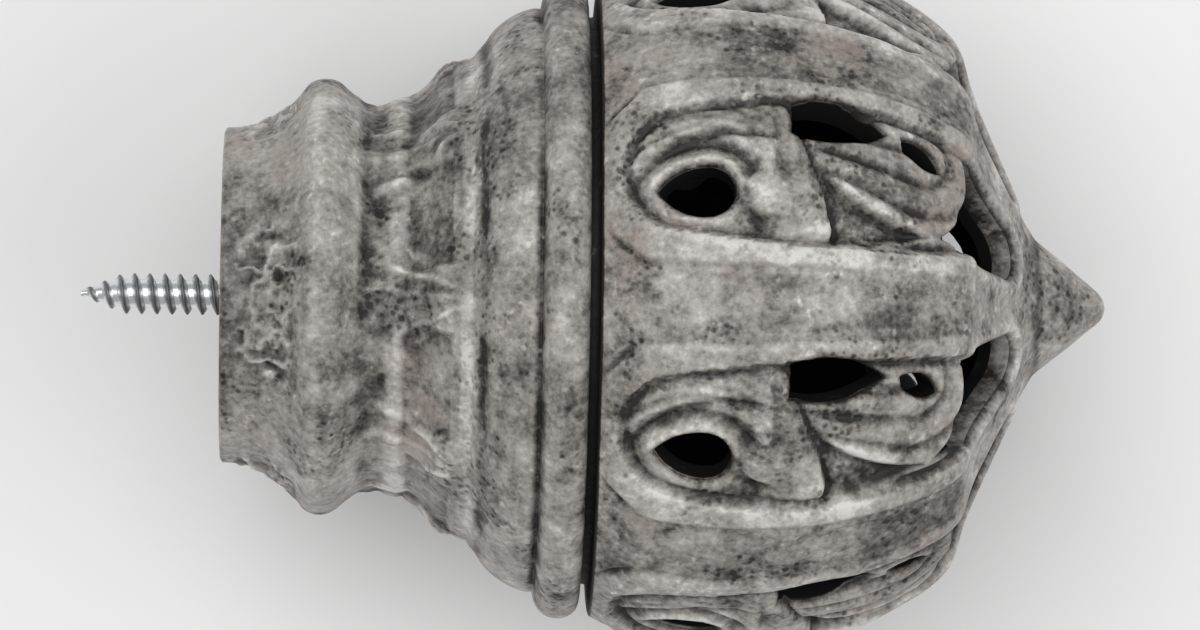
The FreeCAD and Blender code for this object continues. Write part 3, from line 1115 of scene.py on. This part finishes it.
def panel_level(sizes, along, across, recess, eye):
    """Depth inside a panel's recess: eye with lids and scroll, pearl, stem, stippled ground and volute."""
    crescent = outline_distance(along, across, in_ball_shares(CRESCENT_GROOVE))
    stippled = outline_distance(along, across, in_ball_shares(STIPPLED_GROUND))
    level = volute_level(sizes, along, across)
    level = eye_level(sizes, along, across, eye, level)
    level = level + (sizes.deep_depth - level) * CRESCENT_SHARE * smooth(-crescent, *CRESCENT_EDGE)
    pits = np.stack((along, across, np.zeros(along.shape)), axis=-1).reshape(-1, 3)
    stipple = np.abs(lattice_noise(pits, *STIPPLE)).reshape(along.shape)
    ground = sizes.deep_depth - sizes.stipple_height * stipple
    level = level + (ground - level) * smooth(-stippled, *STIPPLE_EDGE)
    level = stem_level(sizes, along, across, level)
    level = pearl_level(sizes, along, across, level)
    level = sizes.frame_depth + (level - sizes.frame_depth) * smooth(-recess, *RECESS_EDGE)
    return level + lines_at(recess, PANEL_LINE)


def eye_level(sizes, along, across, eye, level):
    """Panel's level with the eye's lids and the scroll that curls over them."""
    turn = np.arctan2(across - EYE_MIDDLE[1], along - EYE_MIDDLE[0])
    over = smooth(np.sin(turn), *LID_TURN)
    lid = sizes.lid_height * over + LOWER_LID_HEIGHT * (1.0 - over)
    lid = lid * bell(eye - LID_AWAY, LID_WIDTH)
    line = over * lines_at(eye, LID_LINE)
    past_end = along - SCROLL_END
    scroll = over * smooth(eye, SCROLL_START, SCROLL_AWAY) * (1.0 - smooth(past_end, *SCROLL_END_EDGE))
    flutes = SCROLL_FLUTE_HEIGHT * np.cos(2 * math.pi * (eye - SCROLL_AWAY) / SCROLL_FLUTE_PITCH)
    crown = sizes.scroll_height - SCROLL_FALL * smooth(eye - SCROLL_AWAY, *SCROLL_FALL_EDGE) + flutes
    near = 1.0 - smooth(past_end, *SCROLL_GROUND_EDGE)
    level = level * (1.0 - near) + sizes.panel_depth * near
    return level - lid - scroll * crown + line


def pearl_level(sizes, along, across, level):
    """Panel's level with the broad pearl beside the stem, the line cut round it and the hollow under it."""
    ahead = (along - PEARL_MIDDLE[0]) / PEARL_REACH[0]
    share = np.hypot(ahead, (across - PEARL_MIDDLE[1]) / PEARL_REACH[1])
    dome = PEARL_DEPTH + sizes.pearl_fall * np.square(share)
    on_pearl = 1.0 - smooth(share, *PEARL_EDGE)
    hollow = np.hypot(along - PEARL_HOLLOW[0], across - PEARL_HOLLOW[1])
    level = level + PEARL_HOLLOW_DEPTH * bell(hollow, PEARL_HOLLOW_REACH)
    level = level * (1.0 - on_pearl) + np.minimum(dome, level) * on_pearl
    return level + lines_at(share, PEARL_LINE)


def stem_share(along, across):
    """Signed distance from the stem's spine as a share of its reach there, positive on the volute's side."""
    down, aside, away = from_spine(along, across, STEM_TOP, STEM_FOOT)
    reach = STEM_TOP_REACH + (STEM_FOOT_REACH - STEM_TOP_REACH) * down
    return np.sign(aside) * away / reach


def stem_level(sizes, along, across, level):
    """Panel's level with the stem and the line cut along its far side."""
    share = stem_share(along, across)
    crest = STEM_DEPTH + sizes.stem_fall * np.square(share)
    on_stem = 1.0 - smooth(np.abs(share), *STEM_EDGE)
    level = level * (1.0 - on_stem) + np.minimum(crest, level) * on_stem
    return level + lines_at(share, STEM_LINE)


def volute_level(sizes, along, across):
    """Panel's level with the broad flutes that fan out under the leaf hole and curl round the lobe."""
    down, aside, away = from_spine(along, across, VOLUTE_START, VOLUTE_END)
    pitch = VOLUTE_PITCH[0] + (VOLUTE_PITCH[1] - VOLUTE_PITCH[0]) * down
    wave = (1.0 - np.cos(2 * math.pi * (away - VOLUTE_FIRST) / pitch)) / 2
    flutes = 1.0 - 2.0 * wave**VOLUTE_SHARPNESS
    past_stem = smooth(stem_share(along, across), *VOLUTE_PAST_STEM)
    return sizes.panel_depth - VOLUTE_RISE - sizes.volute_height * flutes * past_stem


def nose_part(sizes):
    """Pointed nose that flares into the ring where the struts meet, with its crease and rounded tip, with
    painted light on the cone and painted shade in the crease.
    """
    tip_angle = math.asin(TIP_EDGE_RADIUS / TIP_RADIUS)
    stations = (
        (strut_station(STRUT_JOIN_RADIUS), STRUT_JOIN_RADIUS, 0.0),
        (NOSE_START, NOSE_RADIUS - NOSE_GROOVE, 0.0),
        (NOSE_TIP - TIP_RADIUS * (1 - math.cos(tip_angle)), TIP_EDGE_RADIUS, -math.tan(tip_angle / 4)),
        (NOSE_TIP, AXIS_RADIUS, 0.0),
    )
    profile = softened(open_profile(stations, (NOSE_SPACING, NOSE_SPACING, TIP_SPACING)), NOSE_EASE_PASSES)
    along, radius, angle = turned_grid(profile, NOSE_COLUMNS)
    wear = hand_wear(sizes, turned_points(along, radius, angle)).reshape(radius.shape)
    on_nose = smooth(along, profile[0, 0], NOSE_START)
    sunk = sizes.strut_depth * (1.0 - on_nose)
    groove = bell(along - NOSE_START, NOSE_CREASE_WIDTH)
    # Painted light brightens the nose's cone and painted shade darkens its crease
    relief = NOSE_PAINTED_LIGHT * on_nose - NOSE_CREASE_SHADE * groove
    radius = np.maximum(radius - wear - sunk * math.cos(STRUT_TILT), AXIS_RADIUS)
    points = turned_points(along - sunk * math.sin(STRUT_TILT), radius, angle)
    return points, turned_faces(len(profile), NOSE_COLUMNS), relief.reshape(-1), OUTER_FINISH


def inner_disc():
    """Flat end of the hollow behind the nose, in near-black painted shade."""
    reach = NOSE_START - WALL * math.sin(STRUT_TILT)
    profile = np.array(((reach, AXIS_RADIUS), (reach, NOSE_RADIUS)))
    points = turned_points(*turned_grid(profile, NOSE_COLUMNS))
    relief = np.full(len(points), -INSIDE_SHADE)
    return points, turned_faces(len(profile), NOSE_COLUMNS), relief, INNER_SHADE_FINISH


def collar_profile():
    """Collar's profile from the screw hole round the outside to the socket's floor."""
    hole = (
        (HOLE_MOUTH_DEPTH, SCREW_HOLE_RADIUS, 0.0),
        (HOLE_MOUTH_DEPTH, HOLE_MOUTH_RADIUS, 0.0),
        (0.0, HOLE_MOUTH_RADIUS, 0.0),
    )
    socket = (
        (COLLAR_END, SOCKET_RADIUS, 0.0),
        (SOCKET_FLOOR, SOCKET_RADIUS, 0.0),
        (SOCKET_FLOOR, AXIS_RADIUS, 0.0),
    )
    carved = [COLLAR_SPACING] * (len(COLLAR_PROFILE) - 1)
    spacings = [PLAIN_SPACING] * len(hole) + carved + [PLAIN_SPACING] * len(socket)
    return softened(open_profile(hole + COLLAR_PROFILE + socket, spacings), COLLAR_EASE_PASSES)


def collar_depth(sizes, along, radius, angle, stained):
    """Depth of the collar's carving: cove blisters, neck panels and hollows, fan leaves, rings and lines."""
    panel_angle = (angle % SECTOR) - SECTOR / 2
    rib_angle = SECTOR / 2 - np.abs(panel_angle)
    points = turned_points(along, radius, angle)
    depth = blister_depth(sizes, along, radius, angle, points)
    past_end = np.maximum(NECK_PANEL_START - along, along - NECK_PANEL_END)
    past_side = np.abs(radius * np.sin(panel_angle)) - NECK_PANEL_HALF_WIDTH
    depth += sizes.neck_panel_depth * smooth(-np.maximum(past_end, past_side), *NECK_PANEL_EDGE)
    hollow = np.maximum(NECK_HOLLOW[0] - along, along - NECK_HOLLOW[1])
    patches = lattice_noise(points, *NECK_PATCH).reshape(along.shape)
    worn = LEAST_HOLLOW_DEPTH + (1.0 - LEAST_HOLLOW_DEPTH) * smooth(patches, *HOLLOW_PATCH_EDGE)
    depth += sizes.neck_hollow_depth * smooth(-hollow, *NECK_HOLLOW_EDGE) * worn
    depth = fan_depth(sizes, along, radius * rib_angle, depth, patches)
    depth += lines_at(along, *NECK_LINES) * (LEAST_LINE_DEPTH + (1.0 - LEAST_LINE_DEPTH) * stained)
    depth -= lines_at(along, *NECK_RINGS)
    return depth + hand_wear(sizes, points).reshape(along.shape)


def stain_patches(along, radius, angle):
    """Share of the turned lines that wear has left deep and stained."""
    points = turned_points(along, radius, angle)
    patches = lattice_noise(points, *STAIN_BROAD) + FINE_SHARE * lattice_noise(points, *STAIN_FINE)
    return smooth(patches, *STAIN_EDGE).reshape(along.shape)


def fan_depth(sizes, along, aside, depth, patches):
    """Neck's depth with a worn leaf at each rib, its veins fanning from the ridge back over the neck."""
    back = FAN_ROOT - along
    spread = np.arctan2(aside, np.maximum(back, AXIS_RADIUS))
    reach = np.hypot(aside, back)
    on_fan = (1.0 - smooth(spread, *FAN_SPREAD_EDGE)) * smooth(back, *FAN_ROOT_EDGE)
    on_fan = on_fan * (1.0 - smooth(reach, *FAN_END_EDGE)) * smooth(patches, *FAN_PATCH_EDGE)
    wave = (1.0 + np.cos(VEIN_RATE * (spread + VEIN_WANDER * patches))) / 2
    veins = (2.0 * wave**VEIN_SHARPNESS - VEIN_SINK) * smooth(reach, *VEIN_START_EDGE)
    leaf = FAN_HUG * depth - sizes.fan_rise * (1.0 - reach / FAN_REACH) - sizes.vein_height * veins
    return depth * (1.0 - on_fan) + leaf * on_fan


def blister_depth(sizes, along, radius, angle, points):
    """Worn blisters in patches round the cove, each ringed by a thin ridge."""
    quarter = math.pi / 2
    turn = (angle + quarter / 2) % quarter - quarter / 2
    middle = (BLISTER_START + BLISTER_END) / 2
    away = [np.hypot(along - middle, radius * (turn - place)) for place in BLISTER_PLACES]
    ragged = lattice_noise(points, *BLISTER_RAGGED)
    swells = lattice_noise(points, *BLISTER_SWELL) + FINE_SHARE * lattice_noise(points, *BLISTER_FINE)
    swells = swells.reshape(along.shape)
    on_cove = smooth(along, BLISTER_START, BLISTER_START + BLISTER_FADE)
    on_cove = on_cove * (1.0 - smooth(along, BLISTER_END - BLISTER_FADE, BLISTER_END))
    past_reach = np.minimum.reduce(away) + BLISTER_WANDER * ragged.reshape(along.shape) - BLISTER_REACH
    shown = on_cove * (1.0 - smooth(past_reach, *BLISTER_REACH_EDGE))
    dips = BLISTER_SINK - bell(swells, BLISTER_RIDGE_WIDTH) + BLISTER_DIP * smooth(swells, *BLISTER_DIP_EDGE)
    return sizes.blister_height * shown * dips


def collar_parts(sizes):
    """Collar as a turned grid with its carving cut along the radius, and its socket."""
    profile = collar_profile()
    along, radius, angle = turned_grid(profile, COLLAR_COLUMNS)
    row = np.arange(len(profile))[:, None]
    past_face = row >= np.argmax(profile[:, 0] > COLLAR_END - END_MARGIN)
    outside = (along > CARVING_START) & (radius > PLAIN_FACE_RADIUS) & ~past_face
    stained = stain_patches(along, radius, angle)
    depth = np.where(outside, collar_depth(sizes, along, radius, angle, stained), 0.0)
    relief = relief_of(depth, np.ones(depth.shape, dtype=bool)) + COLLAR_RUB
    relief -= LINE_STAIN * stained * lines_at(along, *NECK_LINES)
    relief += RING_RUB * lines_at(along, *NECK_RINGS)
    # Painted highlight along the bead's crest
    relief += lines_at(along, BEAD_PAINTED_HIGHLIGHT_LINE)
    # Painted shade on the collar's face in the joint groove and in its socket
    relief = np.where(past_face, -JOINT_SHADE, relief).reshape(-1)
    points = turned_points(along, radius - depth, angle)
    faces = grid_faces(len(profile), COLLAR_COLUMNS, True)
    # The socket's faces take the near-black painted shade
    in_socket = np.repeat(past_face[:-1], COLLAR_COLUMNS, axis=1)
    return [
        (points, faces[~in_socket], relief, OUTER_FINISH),
        (points, faces[in_socket], relief, INNER_SHADE_FINISH),
    ]


def screw_parts(sizes):
    """Screw with its thread wound to the pole face and its tapered point."""
    stations = np.arange(SCREW_TIP, HOLE_MOUTH_DEPTH + SCREW_SPACING, SCREW_SPACING)
    taper = np.clip((stations - SCREW_TIP) / SCREW_POINT_LENGTH, 0.0, 1.0)
    envelope = SCREW_POINT_RADIUS + (SCREW_RADIUS - SCREW_POINT_RADIUS) * taper
    along, radius, angle = turned_grid(np.stack((stations, envelope), axis=1), SCREW_COLUMNS)
    phase = (along / sizes.thread_pitch + angle / (2 * math.pi)) % 1.0
    crest = np.clip(1.0 - np.abs(phase - THREAD_CREST_PHASE) / THREAD_FLANK_WIDTH, 0.0, 1.0)
    height = np.minimum(1.0, crest * THREAD_CREST_FLAT)
    radius = radius * (THREAD_ROOT_SHARE + (1.0 - THREAD_ROOT_SHARE) * height)
    points = turned_points(along, radius, angle)
    # Relief of the thread, which places the painted dark reflections on its crests and flanks
    relief = (crest - THREAD_REFLECTION_OFFSET).reshape(-1)
    tip = turned_points(along[0], np.full(SCREW_COLUMNS, AXIS_RADIUS), angle[0])
    tip = np.concatenate((tip, points[:SCREW_COLUMNS]))
    return [
        (points, turned_faces(len(stations), SCREW_COLUMNS), relief, OUTER_FINISH),
        (tip, turned_faces(2, SCREW_COLUMNS), np.zeros(len(tip)), OUTER_FINISH),
    ]


class FINIAL_OT_cage(bpy.types.Operator):
    """Build the carved and pierced cage in two halves"""

    bl_idname = "finial.cage"
    bl_label = "Pierced Cage"

    def execute(self, context):
        materials = resin_materials(context.scene.finial_colours)
        sizes = in_millimetres(context.scene.finial_sizes)
        outer = CageSector(sizes, CAGE_SPACING, CAGE_COLUMNS)
        inner = CageSector(sizes, INNER_SPACING, INNER_COLUMNS)
        depth = outer.carved_depth()
        half = REPEATS // 2
        nose = [nose_part(sizes), inner_disc()]
        for name, first, ends in (("cage_upper", 0, nose), ("cage_lower", half, [])):
            parts = [outer.outside(depth, first, half), inner.inside(first, half)]
            parts += outer.hole_walls(depth, first, half) + ends
            mesh_piece(name, parts, materials, "pierced_cage")
        return {"FINISHED"}


class FINIAL_OT_collar(bpy.types.Operator):
    """Build the turned collar with its carved neck"""

    bl_idname = "finial.collar"
    bl_label = "Turned Collar"

    def execute(self, context):
        materials = resin_materials(context.scene.finial_colours)
        parts = collar_parts(in_millimetres(context.scene.finial_sizes))
        mesh_piece("turned_collar", parts, materials, "base_collar")
        return {"FINISHED"}


class FINIAL_OT_screw(bpy.types.Operator):
    """Build the threaded pole screw"""

    bl_idname = "finial.screw"
    bl_label = "Pole Screw"

    def execute(self, context):
        material = zinc_plated_steel(context.scene.finial_colours)
        parts = screw_parts(in_millimetres(context.scene.finial_sizes))
        mesh_piece("threaded_screw", parts, [material], "pole_screw")
        return {"FINISHED"}


class FINIAL_OT_stage(bpy.types.Operator):
    """Set out the floor, the lights and the camera"""

    bl_idname = "finial.stage"
    bl_label = "Stage"

    def execute(self, context):
        stage = context.scene.finial_stage
        make_floor(stage)
        aim = Vector((stage.aim_station, stage.aim_side, 0.0))
        make_light("key_light", Vector(stage.key_place), aim, stage.key_size, stage.key_power)
        make_light("fill_light", Vector(stage.fill_place), aim, stage.fill_size, stage.fill_power)
        make_sky(stage)
        make_camera(stage, aim)
        context.scene.view_settings.view_transform = "Standard"
        return {"FINISHED"}


def make_floor(stage):
    """Square floor under the finial."""
    side = stage.floor_size / 2
    level = stage.floor_level
    corners = [(-side, -side, level), (side, -side, level), (side, side, level), (-side, side, level)]
    mesh = bpy.data.meshes.new("floor")
    mesh.from_pydata(corners, [], [(0, 1, 2, 3)])
    mesh.materials.append(pale_floor(stage.floor_colour))
    floor = bpy.data.objects.new("floor", mesh)
    bpy.context.scene.collection.objects.link(floor)


def make_light(name, place, aim, size, watts):
    """Square area light that faces the finial and stays out of sight."""
    data = bpy.data.lights.new(name, "AREA")
    data.size = size
    data.energy = watts
    light = bpy.data.objects.new(name, data)
    light.location = place
    light.rotation_euler = (aim - place).to_track_quat("-Z", "Y").to_euler()
    light.visible_camera = False
    bpy.context.scene.collection.objects.link(light)


def make_sky(stage):
    """Even light from all round."""
    world = bpy.data.worlds.new("studio")
    world.use_nodes = True
    background = world.node_tree.nodes["Background"]
    background.inputs["Color"].default_value = opaque(stage.sky_colour)
    background.inputs["Strength"].default_value = stage.sky_strength
    bpy.context.scene.world = world


def make_camera(stage, aim):
    """Camera above the finial, tilted and rolled as in the photograph."""
    data = bpy.data.cameras.new("camera")
    place = Vector((stage.camera_station, 0.0, stage.camera_height))
    away = (place - aim).normalized()
    up = Vector((-math.sin(stage.camera_roll), math.cos(stage.camera_roll), 0.0))
    right = up.cross(away).normalized()
    up = away.cross(right)
    data.sensor_width = SENSOR_WIDTH
    data.lens = SENSOR_WIDTH * (place - aim).length / stage.frame_width
    data.clip_end = FAR_LIMIT
    camera = bpy.data.objects.new("camera", data)
    turn = Matrix((right, up, away)).transposed().to_4x4()
    camera.matrix_world = Matrix.Translation(place) @ turn
    bpy.context.scene.collection.objects.link(camera)
    bpy.context.scene.camera = camera


class FINIAL_PT_panel(bpy.types.Panel):
    """Operators, sizes, colours and stage of the finial"""

    bl_idname = "FINIAL_PT_panel"
    bl_label = "Curtain Pole Finial"
    bl_space_type = "VIEW_3D"
    bl_region_type = "UI"
    bl_category = "Finial"

    def draw(self, context):
        layout = self.layout
        scene = context.scene
        for operator in OPERATORS:
            layout.operator(operator.bl_idname)
        for group in (scene.finial_sizes, scene.finial_colours, scene.finial_stage):
            box = layout.box()
            for name in group.__annotations__:
                box.prop(group, name)


OPERATORS = (FINIAL_OT_cage, FINIAL_OT_collar, FINIAL_OT_screw, FINIAL_OT_stage)
CLASSES = (FinialSizes, FinialColours, FinialStage) + OPERATORS + (FINIAL_PT_panel,)


def register():
    """Register the classes and hang the settings on the scene."""
    for one in CLASSES:
        bpy.utils.register_class(one)
    bpy.types.Scene.finial_sizes = PointerProperty(type=FinialSizes)
    bpy.types.Scene.finial_colours = PointerProperty(type=FinialColours)
    bpy.types.Scene.finial_stage = PointerProperty(type=FinialStage)


def unregister():
    """Take the settings and the classes away again."""
    del bpy.types.Scene.finial_stage
    del bpy.types.Scene.finial_colours
    del bpy.types.Scene.finial_sizes
    for one in reversed(CLASSES):
        bpy.utils.unregister_class(one)


def main():
    """Build every piece and the stage."""
    register()
    bpy.ops.finial.cage()
    bpy.ops.finial.collar()
    bpy.ops.finial.screw()
    bpy.ops.finial.stage()


if __name__ == "__main__":
    main()
